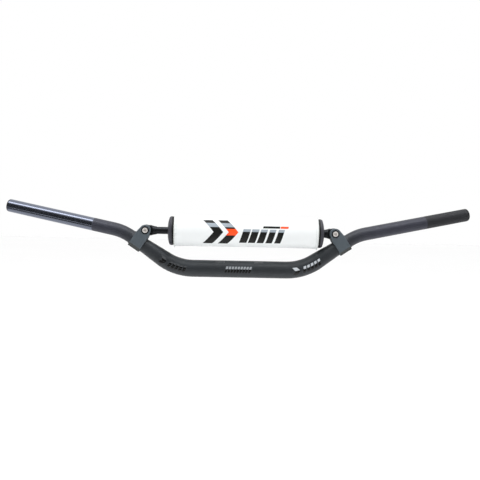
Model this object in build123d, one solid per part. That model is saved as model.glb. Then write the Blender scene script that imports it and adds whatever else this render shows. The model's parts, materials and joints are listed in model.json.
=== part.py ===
from build123d import *
import math
import os

# ---------------------------------------------------------------------------
# A motocross handlebar: a tapered aluminium tube with a clamped crossbar and a
# round pad on it. Sizes are in mm. The origin is the middle of the straight
# centre section. +X runs along it to the clutch end, +Y points back to the
# rider and +Z points up. The two sides mirror each other, but the pad is
# stored slid along the crossbar to the clutch side.
# ---------------------------------------------------------------------------

# Main tube: the corner points of its axis, its bends and its diameters
BAR_WIDTH = 800.0          # over the end plugs, on the axis
BAR_HEIGHT = 99.5          # rise of the ends above the centre section
BAR_SWEEP = 55.0           # how far back the ends sit from the centre section
LOWER_CORNER_X = 105.0
UPPER_CORNER_X = 196.4
UPPER_CORNER_Z = 60.5
LOWER_BEND_R = 88.0
UPPER_BEND_R = 67.0
CENTRE_OD = 28.6
CENTRE_WALL = 4.0
GRIP_OD = 22.2
GRIP_WALL = 3.1
END_CHAMFER = 0.6

# Crossbar clamps: one split block a side, gripping a short parallel seat
SEAT_OD = 24.0
CLAMP_AT = 79.0            # from the lower corner, along the sloping tube
CLAMP_WIDTH = 21.4         # along the tube
CLAMP_SIDE_WALL = 2.5      # in front of the tube and behind it
CLAMP_WALL = 1.9           # under the tube
CLAMP_FACET_Z = 7.8        # the lower facets start this far below the tube axis
CLAMP_FACET_Y = 6.5        # and reach the flat underside this far out
CLAMP_EDGE = 0.8
EAR_WALL = 0.4             # the ears' round top stands this far proud of the eye
EAR_FOOT = 1.5             # the sides draw in to the ears from this far above the tube
EYE_OVER_TUBE = 1.85       # crossbar eye to the tube below it
SEAT_MARGIN = 0.5          # parallel seat left showing at each side of a clamp

# Fasteners: an M6 cap screw, washer and self-locking nut in each clamp
BOLT_OD = 6.0
BOLT_CLEARANCE = 0.2       # radial, in the clamp, washer and eye
BOLT_PROUD = 0.5           # past the nut
FRONT_WEB = 3.0            # clamp metal between the eye and the washer
BACK_WEB = 3.5             # and between the eye and the nut
HEAD_OD = 10.0
HEAD_HEIGHT = 6.0
SOCKET_AF = 5.0
SOCKET_DEPTH = 3.4
WASHER_OD = 12.0
WASHER_THICK = 1.0
RECESS_CLEARANCE = 0.4     # radial, round the washer
NUT_AF = 10.0
NUT_HEIGHT = 6.0
NUT_CLEARANCE = 0.15       # at each flat
INSERT_OD = 8.0
INSERT_THICK = 1.8

# Crossbar: a thin tube with a turned eye pushed into each end
CROSSBAR_OD = 12.0
CROSSBAR_WALL = 2.0
EYE_OD = 17.6
EYE_WIDTH = 11.0
EYE_SHOULDER = 0.7         # shoulder's height above the crossbar tube
EYE_NECK = 18.2            # bolt axis to the shoulder the tube butts against
EYE_FLAT = 11.6            # bolt axis to where the flats begin
STUD_LENGTH = 20.0

# Pad and its two end discs, free to slide and turn on the crossbar
PAD_TRAVEL = 18.6          # from hard against one end to hard against the other
SLIDE_GAP = 0.3            # disc to shoulder when hard against it
RUN_CLEARANCE = 0.3        # radial, on the crossbar
DISC_OD = 48.4
DISC_THICK = 3.8           # at the hub
DISC_RIM = 6.6             # at the rim
DISC_DOME = 3.0
DISC_HUB_OD = 17.0
DISC_GAP = 1.0             # pad end to disc rim
PAD_TUBE_GAP = 0.5         # pad end to the main tube's slope, at the least
PAD_OD = 52.0
PAD_END_RISE = 1.6         # radial, of the flare at each end
PAD_FLARE = 15.0           # length of the flare at each end
PAD_EDGE_R = 2.4
COVER_THICK = 1.2
COVER_END_HOLE = 18.0
CLOSURE_ANGLE = -32.0      # about the crossbar, from straight back, up positive
SLIT_WIDTH = 1.0
HOOK_WIDTH = 22.0
HOOK_THICK = 0.7
HOOK_SETBACK = 10.5        # from where the pad's flare begins
FLAP_WIDTH = 30.0
FLAP_THICK = 1.0
FLAP_SETBACK = 6.5

# End plugs
PLUG_FLANGE_OD = 21.6
PLUG_FLANGE = 2.0
PLUG_SPIGOT = 14.0
PLUG_CLEARANCE = 0.05
PLUG_BORE = 10.0

# ---------------------------------------------------------------------------
# Points and directions of the clutch side
# ---------------------------------------------------------------------------

CORNER_1 = Vector(LOWER_CORNER_X, 0, 0)
CORNER_2 = Vector(UPPER_CORNER_X, 0, UPPER_CORNER_Z)
BAR_END = Vector(BAR_WIDTH / 2, BAR_SWEEP, BAR_HEIGHT)

CENTRE_DIR = Vector(1, 0, 0)
SLOPE_DIR = (CORNER_2 - CORNER_1).normalized()
GRIP_DIR = (BAR_END - CORNER_2).normalized()
SLOPE_UP = Vector(-SLOPE_DIR.Z, 0, SLOPE_DIR.X)


def bend_tangent(before, after, bend_r):
    """Distance from a corner point to where its bend begins."""
    return bend_r * math.tan(math.radians(before.get_angle(after)) / 2)


TANGENT_1 = bend_tangent(CENTRE_DIR, SLOPE_DIR, LOWER_BEND_R)
TANGENT_2 = bend_tangent(SLOPE_DIR, GRIP_DIR, UPPER_BEND_R)

CENTRE_HALF = LOWER_CORNER_X - TANGENT_1
TAPER_START = CORNER_1 + SLOPE_DIR * TANGENT_1
SEAT_HALF = CLAMP_WIDTH / 2 + SEAT_MARGIN
SEAT_START = CORNER_1 + SLOPE_DIR * (CLAMP_AT - SEAT_HALF)
SEAT_END = CORNER_1 + SLOPE_DIR * (CLAMP_AT + SEAT_HALF)
UPPER_BEND_START = CORNER_2 - SLOPE_DIR * TANGENT_2
GRIP_START = CORNER_2 + GRIP_DIR * TANGENT_2
TUBE_END = BAR_END - GRIP_DIR * PLUG_FLANGE

CLAMP_DEPTH = SEAT_OD + 2 * CLAMP_SIDE_WALL
EAR_R = EYE_OD / 2 + EAR_WALL
EAR_START = SEAT_OD / 2 + EAR_FOOT
BOLT_RISE = SEAT_OD / 2 + EYE_OVER_TUBE + EYE_OD / 2
CLAMP_FOOT = CORNER_1 + SLOPE_DIR * CLAMP_AT
BOLT_CENTRE = CLAMP_FOOT + SLOPE_UP * BOLT_RISE
CROSSBAR_Z = BOLT_CENTRE.Z
SHOULDER_X = BOLT_CENTRE.X - EYE_NECK

# The clamp's own frame: x along the tube, y back, z up towards the bolt
CLAMP_FRAME = Plane(CLAMP_FOOT, x_dir=SLOPE_DIR, z_dir=SLOPE_UP)
# The bolt's: z points forward, out of the head
BOLT_FRAME = Plane(BOLT_CENTRE, x_dir=SLOPE_DIR, z_dir=(0, -1, 0))
# The crossbar's: x back, y up, z along the crossbar to the clutch side
CROSSBAR_FRAME = Plane((0, 0, CROSSBAR_Z), x_dir=(0, 1, 0), z_dir=(1, 0, 0))

BORE_CENTRE_R = CENTRE_OD / 2 - CENTRE_WALL
BORE_GRIP_R = GRIP_OD / 2 - GRIP_WALL
BOLT_HOLE_R = BOLT_OD / 2 + BOLT_CLEARANCE
DISC_BORE_R = CROSSBAR_OD / 2 + RUN_CLEARANCE

# ---------------------------------------------------------------------------
# Shapes used more than once
# ---------------------------------------------------------------------------


def rod(start, end, start_r, end_r):
    """A round bar or cone between two points."""
    run = end - start
    frame = Plane(start, z_dir=run.normalized())
    if start_r == end_r:
        return Solid.make_cylinder(start_r, run.length, frame)
    return Solid.make_cone(start_r, end_r, run.length, frame)


def bend(corner, before, after, bend_r, tube_r):
    """The arc of round bar that turns from one straight run to the next."""
    turn_axis = before.cross(after).normalized()
    start = corner - before * bend_tangent(before, after, bend_r)
    centre = start + turn_axis.cross(before) * bend_r
    section = Plane(start, z_dir=before) * Circle(tube_r)
    return revolve(section, Axis(centre, turn_axis), before.get_angle(after))


def turned(frame, outline, arc=360.0, from_angle=0.0):
    """A turned solid: an outline of (radius, along) edges spun about the frame's z."""
    face = Plane.XZ * make_face(outline)
    solid = revolve(face, Axis.Z, arc)
    return frame.location * (Rot(0, 0, from_angle) * solid)


def closed(*points):
    """A closed outline of straight edges."""
    return Polyline(*points, close=True)


def ring(frame, inner_r, outer_r, low, high):
    """A plain ring about the frame's z axis."""
    return turned(frame, closed((inner_r, low), (outer_r, low), (outer_r, high), (inner_r, high)))


def hex_prism(frame, across_flats, low, high):
    """A hexagonal prism about the frame's z axis, flats square to its x."""
    outline = Rot(0, 0, 30) * RegularPolygon(across_flats / 2, 6, major_radius=False)
    return frame.location * (Pos(0, 0, low) * extrude(outline, high - low))


def other_side(shape):
    """The same piece on the throttle side."""
    return mirror(shape, about=Plane.YZ)


# ---------------------------------------------------------------------------
# Main tube and its end plugs
# ---------------------------------------------------------------------------


def tube_solid(centre_r, seat_r, grip_r, end, end_chamfer):
    """A solid bar along the handlebar's axis, for the outside or for the bore."""
    chamfer_start = end - GRIP_DIR * end_chamfer
    pieces = [
        bend(CORNER_1, CENTRE_DIR, SLOPE_DIR, LOWER_BEND_R, centre_r),
        rod(TAPER_START, SEAT_START, centre_r, seat_r),
        rod(SEAT_START, SEAT_END, seat_r, seat_r),
        rod(SEAT_END, UPPER_BEND_START, seat_r, grip_r),
        bend(CORNER_2, SLOPE_DIR, GRIP_DIR, UPPER_BEND_R, grip_r),
        rod(GRIP_START, chamfer_start, grip_r, grip_r),
    ]
    if end_chamfer > 0:
        pieces.append(rod(chamfer_start, end, grip_r, grip_r - end_chamfer))
    solid = rod(Vector(-CENTRE_HALF, 0, 0), Vector(CENTRE_HALF, 0, 0), centre_r, centre_r)
    for piece in pieces:
        solid = solid + piece
    for piece in pieces:
        solid = solid + other_side(piece)
    return solid


def main_bar():
    """The bent tube, with a wall that thins towards the grips."""
    outside = tube_solid(CENTRE_OD / 2, SEAT_OD / 2, GRIP_OD / 2, TUBE_END, END_CHAMFER)
    bore = tube_solid(BORE_CENTRE_R, BORE_GRIP_R, BORE_GRIP_R, TUBE_END + GRIP_DIR, 0)
    return outside - bore


def bar_end_plug():
    """A push-in plug: a flange on the tube's end and a hollow spigot in its bore."""
    frame = Plane(TUBE_END, z_dir=GRIP_DIR)
    flange_r = PLUG_FLANGE_OD / 2
    spigot_r = BORE_GRIP_R - PLUG_CLEARANCE
    bore_r = PLUG_BORE / 2
    lead_in = 1.0
    outline = closed(
        (0, PLUG_FLANGE),
        (flange_r - 1.4, PLUG_FLANGE),
        (flange_r - 0.5, PLUG_FLANGE - 0.35),
        (flange_r, PLUG_FLANGE - 1.2),
        (flange_r, 0),
        (spigot_r, 0),
        (spigot_r, lead_in - PLUG_SPIGOT),
        (spigot_r - lead_in, -PLUG_SPIGOT),
        (bore_r, -PLUG_SPIGOT),
        (bore_r, 0),
        (0, 0),
    )
    return turned(frame, outline)


# ---------------------------------------------------------------------------
# Crossbar clamp and its fasteners
# ---------------------------------------------------------------------------

# Distances from the middle of the eye, forward or back along the bolt
FRONT_FLOOR = EYE_WIDTH / 2 + FRONT_WEB
BACK_FLOOR = EYE_WIDTH / 2 + BACK_WEB
HEAD_SEAT = FRONT_FLOOR + WASHER_THICK
NUT_END = BACK_FLOOR + NUT_HEIGHT


def ear_outline(half_w, base):
    """The clamp seen from the front: a block drawn in to a round top."""
    drop = BOLT_RISE - EAR_START
    reach = math.hypot(half_w, drop)
    side = math.atan2(-drop, half_w) + math.acos(EAR_R / reach)
    touch_x = EAR_R * math.cos(side)
    touch_z = BOLT_RISE + EAR_R * math.sin(side)
    crown = (0, BOLT_RISE + EAR_R)
    return [
        ThreePointArc((touch_x, touch_z), crown, (-touch_x, touch_z)),
        Polyline(
            (-touch_x, touch_z),
            (-half_w, EAR_START),
            (-half_w, base),
            (half_w, base),
            (half_w, EAR_START),
            (touch_x, touch_z),
        ),
    ]


def clamp():
    """A block split from above: round ears for the bolt, a bore for the tube."""
    half_w = CLAMP_WIDTH / 2
    half_d = CLAMP_DEPTH / 2
    base = -(SEAT_OD / 2 + CLAMP_WALL)
    top = BOLT_RISE + half_w + 1
    front = Plane.XZ * make_face(ear_outline(half_w, base))
    block = extrude(front, CLAMP_DEPTH / 2, both=True)
    block = chamfer(block.faces().filter_by(Axis.Y).edges(), CLAMP_EDGE)
    section = closed(
        (-half_d, top),
        (half_d, top),
        (half_d, -CLAMP_FACET_Z),
        (CLAMP_FACET_Y, base),
        (-CLAMP_FACET_Y, base),
        (-half_d, -CLAMP_FACET_Z),
    )
    block = block & extrude(Plane.YZ * make_face(section), CLAMP_WIDTH, both=True)
    along = Plane((-CLAMP_WIDTH, 0, 0), z_dir=(1, 0, 0))
    block = block - Solid.make_cylinder(SEAT_OD / 2, 2 * CLAMP_WIDTH, along)
    block = block - Pos(0, 0, top / 2) * Box(2 * CLAMP_WIDTH, EYE_WIDTH, top)
    block = CLAMP_FRAME.location * block
    block = block - ring(BOLT_FRAME, 0, BOLT_HOLE_R, -CLAMP_DEPTH, CLAMP_DEPTH)
    recess_r = WASHER_OD / 2 + RECESS_CLEARANCE
    block = block - ring(BOLT_FRAME, 0, recess_r, FRONT_FLOOR, CLAMP_DEPTH)
    pocket_af = NUT_AF + 2 * NUT_CLEARANCE
    return block - hex_prism(BOLT_FRAME, pocket_af, -CLAMP_DEPTH, -BACK_FLOOR)


def clamp_bolt():
    """Socket-head cap screw; its thread is left as a plain shank."""
    head_r = HEAD_OD / 2
    shank_r = BOLT_OD / 2
    tip = -(NUT_END + BOLT_PROUD)
    head_top = HEAD_SEAT + HEAD_HEIGHT
    outline = closed(
        (0, head_top),
        (head_r - 0.6, head_top),
        (head_r, head_top - 0.6),
        (head_r, HEAD_SEAT),
        (shank_r, HEAD_SEAT),
        (shank_r, tip + 0.7),
        (shank_r - 0.7, tip),
        (0, tip),
    )
    solid = turned(BOLT_FRAME, outline)
    return solid - hex_prism(BOLT_FRAME, SOCKET_AF, head_top - SOCKET_DEPTH, head_top + 1)


def bolt_washer():
    """Flat washer in the floor of the clamp's recess."""
    return ring(BOLT_FRAME, BOLT_HOLE_R, WASHER_OD / 2, FRONT_FLOOR, HEAD_SEAT)


def clamp_nut():
    """Self-locking nut: a hexagon with a round collar for the insert."""
    outer = -NUT_END
    collar = outer + INSERT_THICK
    body = hex_prism(BOLT_FRAME, NUT_AF, collar, -BACK_FLOOR)
    body = body + ring(BOLT_FRAME, BOLT_OD / 2, NUT_AF / 2 - 0.3, outer, collar)
    body = body - ring(BOLT_FRAME, 0, INSERT_OD / 2, outer, collar)
    return body - ring(BOLT_FRAME, 0, BOLT_OD / 2, outer, 0)


def nut_insert():
    """The nut's plastic locking ring."""
    return ring(BOLT_FRAME, BOLT_OD / 2, INSERT_OD / 2, -NUT_END, INSERT_THICK - NUT_END)


# ---------------------------------------------------------------------------
# Crossbar
# ---------------------------------------------------------------------------


def crossbar_tube():
    """The straight tube between the two eyes' shoulders."""
    outer_r = CROSSBAR_OD / 2
    return ring(CROSSBAR_FRAME, outer_r - CROSSBAR_WALL, outer_r, -SHOULDER_X, SHOULDER_X)


def crossbar_eye():
    """A turned fitting: stud in the tube, flared neck, and a flat-sided eye."""
    eye_r = EYE_OD / 2
    stud_r = CROSSBAR_OD / 2 - CROSSBAR_WALL
    shoulder_r = CROSSBAR_OD / 2 + EYE_SHOULDER
    flare_end = SHOULDER_X + EYE_NECK / 2
    outline = [
        Line((0, SHOULDER_X - STUD_LENGTH), (stud_r, SHOULDER_X - STUD_LENGTH)),
        Line((stud_r, SHOULDER_X - STUD_LENGTH), (stud_r, SHOULDER_X)),
        Line((stud_r, SHOULDER_X), (shoulder_r, SHOULDER_X)),
        ThreePointArc(
            (shoulder_r, SHOULDER_X),
            ((shoulder_r + eye_r) / 2 - 0.35, (SHOULDER_X + flare_end) / 2),
            (eye_r, flare_end),
        ),
        Line((eye_r, flare_end), (eye_r, BOLT_CENTRE.X)),
        Line((eye_r, BOLT_CENTRE.X), (0, BOLT_CENTRE.X)),
        Line((0, BOLT_CENTRE.X), (0, SHOULDER_X - STUD_LENGTH)),
    ]
    solid = turned(CROSSBAR_FRAME, outline)
    solid = solid + ring(BOLT_FRAME, 0, eye_r, -EYE_WIDTH / 2, EYE_WIDTH / 2)
    flat_x = BOLT_CENTRE.X - EYE_FLAT
    for side in (-1, 1):
        waste = Box(2 * EYE_OD, EYE_OD, 2 * EYE_OD)
        place = Vector(flat_x + EYE_OD, side * (EYE_WIDTH + EYE_OD) / 2, CROSSBAR_Z)
        solid = solid - Pos(place) * waste
    return solid - ring(BOLT_FRAME, 0, BOLT_HOLE_R, -EYE_WIDTH, EYE_WIDTH)


# ---------------------------------------------------------------------------
# Pad, its cover and closure, and the end discs
# ---------------------------------------------------------------------------

# Distances along the crossbar, with the assembly hard against the clutch side
DISC_FACE = SHOULDER_X - SLIDE_GAP
RIM_INNER = DISC_FACE - DISC_DOME - DISC_RIM
PAD_END_R = PAD_OD / 2 + PAD_END_RISE
# The pad ends at the disc, or sooner where its lower edge meets the main tube's slope
SLOPE_ROOM = SLOPE_UP.Z * (CROSSBAR_Z - PAD_END_R) - CENTRE_OD / 2 - PAD_TUBE_GAP
PAD_END = min(RIM_INNER - DISC_GAP, LOWER_CORNER_X + SLOPE_ROOM / SLOPE_DIR.Z)
PAD_SHIFT = PAD_TRAVEL / 2
PAD_HALF = PAD_END - PAD_SHIFT
PAD_STRAIGHT = PAD_HALF - PAD_FLARE


def pad_disc():
    """A domed disc, its convex face towards the clamp, with a rounded rim."""
    rim_r = DISC_OD / 2
    hub_r = DISC_HUB_OD / 2
    rim_out = DISC_FACE - DISC_DOME
    rim_in = RIM_INNER
    hub_in = DISC_FACE - DISC_THICK
    mid_r = (hub_r + rim_r) / 2
    outline = [
        Line((DISC_BORE_R, DISC_FACE), (hub_r, DISC_FACE)),
        ThreePointArc(
            (hub_r, DISC_FACE),
            (mid_r, DISC_FACE - DISC_DOME * 0.32),
            (rim_r - 1.2, rim_out),
        ),
        ThreePointArc(
            (rim_r - 1.2, rim_out),
            (rim_r, (rim_out + rim_in) / 2),
            (rim_r - 0.8, rim_in),
        ),
        Line((rim_r - 0.8, rim_in), (rim_r - 2.2, rim_in)),
        ThreePointArc(
            (rim_r - 2.2, rim_in),
            (mid_r, hub_in - DISC_DOME * 0.32),
            (hub_r, hub_in),
        ),
        Line((hub_r, hub_in), (DISC_BORE_R, hub_in)),
        Line((DISC_BORE_R, hub_in), (DISC_BORE_R, DISC_FACE)),
    ]
    return turned(CROSSBAR_FRAME, outline)


def pad_body(inset, hole_r):
    """The pad's flared round shape, or the same drawn in by an inset."""
    mid_r = PAD_OD / 2 - inset
    end_r = PAD_END_R - inset
    end = PAD_HALF - inset
    edge = PAD_EDGE_R - inset
    half = [
        Line((mid_r, 0), (mid_r, PAD_STRAIGHT)),
        Spline((mid_r, PAD_STRAIGHT), (end_r, end - edge), tangents=((0, 1), (0.12, 1))),
        Line((end_r, end - edge), (end_r - edge, end)),
        Line((end_r - edge, end), (hole_r, end)),
        Line((hole_r, end), (hole_r, 0)),
        Line((hole_r, 0), (mid_r, 0)),
    ]
    solid = turned(Plane.XY, half)
    solid = solid + mirror(solid, about=Plane.XY)
    return CROSSBAR_FRAME.location * (Pos(0, 0, PAD_SHIFT) * solid)


def slit():
    """The gap the pad is opened by to go over the crossbar."""
    length = BAR_WIDTH
    waste = Pos(PAD_OD / 2, 0, 0) * Box(PAD_OD, SLIT_WIDTH, length)
    return CROSSBAR_FRAME.location * (Rot(0, 0, CLOSURE_ANGLE) * waste)


def strip(inner_r, thick, width, setback):
    """A curved strip along the straight part of the pad, over its slit."""
    outer_r = inner_r + thick
    arc = math.degrees(width / outer_r)
    low = PAD_SHIFT - PAD_STRAIGHT + setback
    high = PAD_SHIFT + PAD_STRAIGHT - setback
    outline = closed((inner_r, low), (outer_r, low), (outer_r, high), (inner_r, high))
    return turned(CROSSBAR_FRAME, outline, arc, CLOSURE_ANGLE - arc / 2)


def pad_foam():
    """The foam core, bored for the crossbar and slit along one side."""
    return pad_body(COVER_THICK, DISC_BORE_R) - slit()


def pad_cover():
    """The cover: a sleeve with an annular panel at each end."""
    hole_r = COVER_END_HOLE / 2
    return pad_body(0, hole_r) - pad_body(COVER_THICK, DISC_BORE_R) - slit()


# ---------------------------------------------------------------------------
# Write the pieces
# ---------------------------------------------------------------------------

PAIRED = {
    "clamp": clamp(),
    "clamp_bolt": clamp_bolt(),
    "bolt_washer": bolt_washer(),
    "clamp_nut": clamp_nut(),
    "nut_insert": nut_insert(),
    "crossbar_eye": crossbar_eye(),
    "bar_end_plug": bar_end_plug(),
}

PIECES = {
    "main_bar": main_bar(),
    "crossbar_tube": crossbar_tube(),
    "pad_disc_right": pad_disc(),
    "pad_disc_left": Pos(PAD_TRAVEL, 0, 0) * other_side(pad_disc()),
    "pad_foam": pad_foam(),
    "pad_cover": pad_cover(),
    "pad_hook_strip": strip(PAD_OD / 2, HOOK_THICK, HOOK_WIDTH, HOOK_SETBACK),
    "pad_flap": strip(PAD_OD / 2 + HOOK_THICK, FLAP_THICK, FLAP_WIDTH, FLAP_SETBACK),
}

for name, shape in PAIRED.items():
    PIECES[name + "_right"] = shape
    PIECES[name + "_left"] = other_side(shape)

os.makedirs("parts", exist_ok=True)
for name, shape in PIECES.items():
    export_step(shape, f"parts/{name}.step")
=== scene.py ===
import json
import math

import bmesh
import bpy
from bpy.props import FloatProperty, FloatVectorProperty, IntProperty, PointerProperty
from mathutils import Matrix, Vector, noise
from mathutils.bvhtree import BVHTree


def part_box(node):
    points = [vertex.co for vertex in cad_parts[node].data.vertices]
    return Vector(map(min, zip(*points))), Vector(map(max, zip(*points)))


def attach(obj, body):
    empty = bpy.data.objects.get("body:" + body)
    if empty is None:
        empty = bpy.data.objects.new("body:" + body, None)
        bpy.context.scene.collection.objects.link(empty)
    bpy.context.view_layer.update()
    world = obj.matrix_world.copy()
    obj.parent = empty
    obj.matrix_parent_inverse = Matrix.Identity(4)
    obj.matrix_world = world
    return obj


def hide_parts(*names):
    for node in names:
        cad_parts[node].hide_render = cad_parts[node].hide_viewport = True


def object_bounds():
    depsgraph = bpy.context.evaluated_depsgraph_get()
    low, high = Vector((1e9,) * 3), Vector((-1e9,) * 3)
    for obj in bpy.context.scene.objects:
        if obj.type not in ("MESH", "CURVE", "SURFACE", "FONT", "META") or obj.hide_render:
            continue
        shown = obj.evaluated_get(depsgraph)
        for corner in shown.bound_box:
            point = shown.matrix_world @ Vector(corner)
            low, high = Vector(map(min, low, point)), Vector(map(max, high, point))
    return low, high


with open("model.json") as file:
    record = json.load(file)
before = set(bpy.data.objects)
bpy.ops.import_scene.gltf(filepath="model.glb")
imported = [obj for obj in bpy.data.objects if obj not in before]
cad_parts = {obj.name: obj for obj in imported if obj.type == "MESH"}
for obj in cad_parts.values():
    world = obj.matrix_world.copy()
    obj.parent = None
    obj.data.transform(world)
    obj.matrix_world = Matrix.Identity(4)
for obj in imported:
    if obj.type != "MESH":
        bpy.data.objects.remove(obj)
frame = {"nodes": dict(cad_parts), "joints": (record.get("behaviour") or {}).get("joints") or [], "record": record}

bl_info = {
    "name": "Motocross handlebar",
    "version": (1, 0, 0),
    "blender": (4, 5, 0),
    "location": "View3D > Sidebar > Handlebar",
    "description": "Finishes a handlebar's metal parts and sews its crossbar pad",
    "category": "Object",
}

# Places taken from the frame. Everything is in metres: +X along the centre
# section to the clutch end, +Y back to the rider, +Z up.

MM = 0.001
WHITE = (1.0, 1.0, 1.0, 1.0)
# Near black painted as shade, round the bolt heads' rims and in the clamps' recesses round them
SHADE_BLACK = (0.02, 0.02, 0.02)
CAD_LOW, CAD_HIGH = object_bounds()
MOUNTS = {mount["name"]: mount for mount in frame["record"]["mounts"]}
JOINTS = {joint["name"]: joint for joint in frame["joints"]}

CROSSBAR_Z = JOINTS["pad_turn"]["pos_m"][2]
PAD_LOW, PAD_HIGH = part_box("pad_cover")
PAD_MIDDLE = (PAD_LOW.x + PAD_HIGH.x) / 2
PAD_HALF = (PAD_HIGH.x - PAD_LOW.x) / 2
PAD_END_R = (PAD_HIGH.z - PAD_LOW.z) / 2
CENTRE_HALF = MOUNTS["bar_center"]["dims"]["length_mm"] * MM / 2
CENTRE_R = MOUNTS["bar_center"]["dims"]["r_mm"] * MM

# The main tube's first bend and the slope after it
BEND_R = 88 * MM
SLOPE_RUN = 91.4 * MM
SLOPE_RISE = 60.5 * MM
SLOPE_ANGLE = math.atan2(SLOPE_RISE, SLOPE_RUN)
SLOPE_SINE = math.sin(SLOPE_ANGLE)
SLOPE_COSINE = math.cos(SLOPE_ANGLE)
TUBE_CHAMFER = 0.6 * MM

# A radius past every part, for a finish with no painted shade anywhere
ALL_OVER = 1.0

# The cover's mesh rows over each end panel and its edge, which filling leaves in place
END_ROWS = 9

# The closure's strips; each radius is from the crossbar's axis
HOOK_HALF_WIDTH = 11 * MM
HOOK_RADIUS = 26.0 * MM
HOOK_THICKNESS = 0.6 * MM
HOOK_CORNER = 1.5 * MM
FLAP_HALF_WIDTH = 15 * MM
FLAP_RADIUS = 26.7 * MM
FLAP_THICKNESS = 0.75 * MM
FLAP_STITCH_RADIUS = 27.5 * MM

SENSOR_WIDTH = 36.0


def around_crossbar(along, radius, angle):
    """A point by its place along the crossbar and its angle from the front, up positive."""
    return Vector(
        (along, -radius * math.cos(angle), CROSSBAR_Z + radius * math.sin(angle))
    )


def closure_angle():
    """The angle round the crossbar of the middle of the pad's closure."""
    points = [vertex.co for vertex in frame["nodes"]["pad_flap"].data.vertices]
    middle = sum(points, Vector()) / len(points)
    return math.atan2(middle.z - CROSSBAR_Z, -middle.y)


CLOSURE = closure_angle()

# Shader maths


class Wire:
    """One output of a node tree; arithmetic on it adds Math nodes."""

    def __init__(self, nodes, socket):
        self.nodes = nodes
        self.socket = socket

    def maths(self, operation, *values):
        settings = {"operation": operation}
        return self.nodes.node("ShaderNodeMath", settings, dict(enumerate(values)))

    def __add__(self, other):
        return self.maths("ADD", self, other)

    def __radd__(self, other):
        return self.maths("ADD", other, self)

    def __sub__(self, other):
        return self.maths("SUBTRACT", self, other)

    def __rsub__(self, other):
        return self.maths("SUBTRACT", other, self)

    def __mul__(self, other):
        return self.maths("MULTIPLY", self, other)

    def __rmul__(self, other):
        return self.maths("MULTIPLY", other, self)

    def __truediv__(self, other):
        return self.maths("DIVIDE", self, other)

    def __rtruediv__(self, other):
        return self.maths("DIVIDE", other, self)

    def __neg__(self):
        return self.maths("MULTIPLY", self, -1.0)

    def __abs__(self):
        return self.maths("ABSOLUTE", self)

    def __gt__(self, other):
        return self.maths("GREATER_THAN", self, other)

    def __lt__(self, other):
        return self.maths("LESS_THAN", self, other)

    def root(self):
        """The square root."""
        return self.maths("SQRT", self)

    def sine(self):
        """The sine."""
        return self.maths("SINE", self)

    def fraction(self):
        """What is left above the whole number."""
        return self.maths("FRACT", self)

    def or_more(self, other):
        """The larger of two values."""
        return self.maths("MAXIMUM", self, other)

    def angle_over(self, run):
        """The angle of a slope with this rise, all the way round."""
        return self.maths("ARCTAN2", self, run)


class Nodes:
    """A node tree, with one way to add any node to it."""

    def __init__(self, tree):
        self.tree = tree

    def feed(self, socket, value):
        """Links a wire to a socket, or sets a plain value on it."""
        if isinstance(value, Wire):
            self.tree.links.new(value.socket, socket)
        else:
            socket.default_value = value

    def node(self, kind, settings=None, values=None, out=0):
        """Adds a node, its settings first and then its sockets, and returns one output."""
        made = self.tree.nodes.new(kind)
        for name, value in (settings or {}).items():
            setattr(made, name, value)
        for name, value in (values or {}).items():
            self.feed(made.inputs[name], value)
        return Wire(self, made.outputs[out])

    def part_of(self, vector, axis):
        """One of a vector's three numbers."""
        return self.node("ShaderNodeSeparateXYZ", None, {0: vector}, axis)

    def ramped(self, value, low, high):
        """0 below low, 1 above high, and straight between them."""
        values = {"Value": value, "From Min": low, "From Max": high}
        return self.node("ShaderNodeMapRange", {"clamp": True}, values)


class Finish(Nodes):
    """A material in the making: a node tree that ends in one Principled shader."""

    def __init__(self, name, **constants):
        self.material = bpy.data.materials.new(name)
        self.material.use_nodes = True
        super().__init__(self.material.node_tree)
        self.shader = self.tree.nodes["Principled BSDF"]
        for socket, value in constants.items():
            self.shader.inputs[socket.replace("_", " ")].default_value = value

    def set(self, name, value):
        """Feeds one socket of the shader."""
        self.feed(self.shader.inputs[name], value)

    def place(self):
        """The place on the piece, in the frame's metres."""
        return self.node("ShaderNodeTexCoord", out="Object")

    def vector_maths(self, operation, first, second, out=0):
        """One step of arithmetic on two vectors."""
        settings = {"operation": operation}
        return self.node("ShaderNodeVectorMath", settings, {0: first, 1: second}, out)

    def dot(self, vector, direction):
        """How far a vector reaches along a fixed direction."""
        return self.vector_maths("DOT_PRODUCT", vector, tuple(direction), "Value")

    def shifted(self, vector, offset):
        """A vector with a fixed one taken from it."""
        return self.vector_maths("SUBTRACT", vector, tuple(offset))

    def stretched(self, vector, factors):
        """A vector with its three numbers scaled."""
        return self.vector_maths("MULTIPLY", vector, tuple(factors))

    def joined(self, x, y, z):
        """A vector made of three numbers."""
        return self.node("ShaderNodeCombineXYZ", None, {0: x, 1: y, 2: z})

    def mixed(self, share, first, second):
        """One colour to the other as share goes from 0 to 1."""
        settings = {"data_type": "RGBA"}
        values = {0: share, 6: opaque(first), 7: opaque(second)}
        return self.node("ShaderNodeMix", settings, values, 2)

    def speckle(self, place, size, detail=2.0, roughness=0.5):
        """Cloudy noise from 0 to 1, with features about as large as size."""
        values = {"Vector": place, "Scale": 1 / size, "Detail": detail, "Roughness": roughness}
        return self.node("ShaderNodeTexNoise", None, values)

    def cells(self, place, size, feature="F1"):
        """Distance to the nearest of scattered points about size apart."""
        values = {"Vector": place, "Scale": 1 / size}
        return self.node("ShaderNodeTexVoronoi", {"feature": feature}, values)

    def bump(self, height, distance, strength=1.0, under=None):
        """A normal that follows a height from 0 to 1 over a distance."""
        values = {"Height": height, "Distance": distance, "Strength": strength}
        if under is not None:
            values["Normal"] = under
        return self.node("ShaderNodeBump", None, values)


def opaque(colour):
    """A plain colour with its alpha, or a wire as it is."""
    if isinstance(colour, Wire) or len(colour) == 4:
        return colour
    return (*colour, 1.0)


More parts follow.
